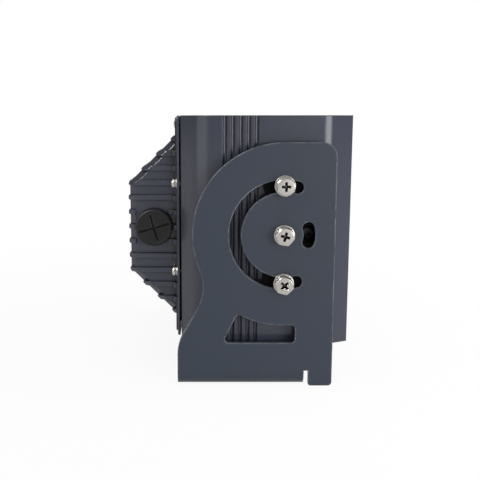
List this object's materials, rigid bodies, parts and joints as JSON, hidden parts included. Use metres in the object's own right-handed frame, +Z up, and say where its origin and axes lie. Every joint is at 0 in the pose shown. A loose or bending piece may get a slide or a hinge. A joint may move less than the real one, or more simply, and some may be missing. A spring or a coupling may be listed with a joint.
{
  "type": "led flood light",
  "caption": "Boxy flood light with a finned cast body and ribbed rear cover, tilting between the cheeks of a U-shaped mounting bracket with arc slots.",
  "frame": {"origin": "centre of the round hole in the middle of the bracket's base, on the base's underside", "axes": "+X the way the light shines at rest, +Y across the lamp along the tilt axis, +Z up, away from the base"},
  "size_m": [0.1771, 0.2622, 0.21],
  "materials": {
    "bracket_paint": "satin dark blue-grey powder coat on bent steel sheet",
    "body_paint": "satin dark blue-grey powder coat on cast aluminium",
    "black_rubber": "matt black rubber",
    "black_plastic": "matt black nylon",
    "stainless": "bright stainless steel",
    "clear_glass": "clear tempered glass",
    "grey_silicone": "soft grey silicone",
    "white_board": "white solder mask on an aluminium-core board",
    "yellow_phosphor": "yellow phosphor",
    "clear_lens": "clear moulded acrylic",
    "white_plastic": "off-white nylon",
    "driver_aluminium": "plain sheet aluminium case",
    "plated_steel": "zinc-plated steel",
    "lead_insulation": "coloured lead insulation"
  },
  "bodies": {
    "bracket": {"mounting_bracket": "bracket_paint"},
    "head": {"bezel_screws": "stainless", "blanking_plug": "black_plastic", "board_connector": "white_plastic", "bolt_flat_washers": "stainless", "bolt_spring_washers": "stainless", "clamp_bolts": "stainless", "cover_flat_washers": "stainless", "cover_screws": "stainless", "cover_spring_washers": "stainless", "dc_leads": "lead_insulation", "driver_case": "driver_aluminium", "driver_screws": "stainless", "front_bezel": "body_paint", "front_glass": "clear_glass", "gland_body": "black_plastic", "gland_insert": "black_rubber", "gland_locknut": "black_plastic", "gland_nut": "black_plastic", "gland_seal": "black_rubber", "glass_gasket": "grey_silicone", "lamp_body": "body_paint", "led_board": "white_board", "led_emitters": "yellow_phosphor", "lens_plate": "clear_lens", "lens_screws": "stainless", "mains_leads": "lead_insulation", "pivot_bolts": "stainless", "pivot_spacers": "black_rubber", "plug_seal": "black_rubber", "rear_cover": "body_paint", "rear_gasket": "black_rubber", "spacer_discs": "black_rubber", "terminal_block": "white_plastic", "terminal_screws": "plated_steel"}
  },
  "joints": [
    {"name": "tilt", "type": "hinge", "parent": "bracket", "child": "head", "pos_m": [0.0325, 0, 0.12], "axis": [0, 1, 0], "range_deg": [-15, 15]}
  ]
}
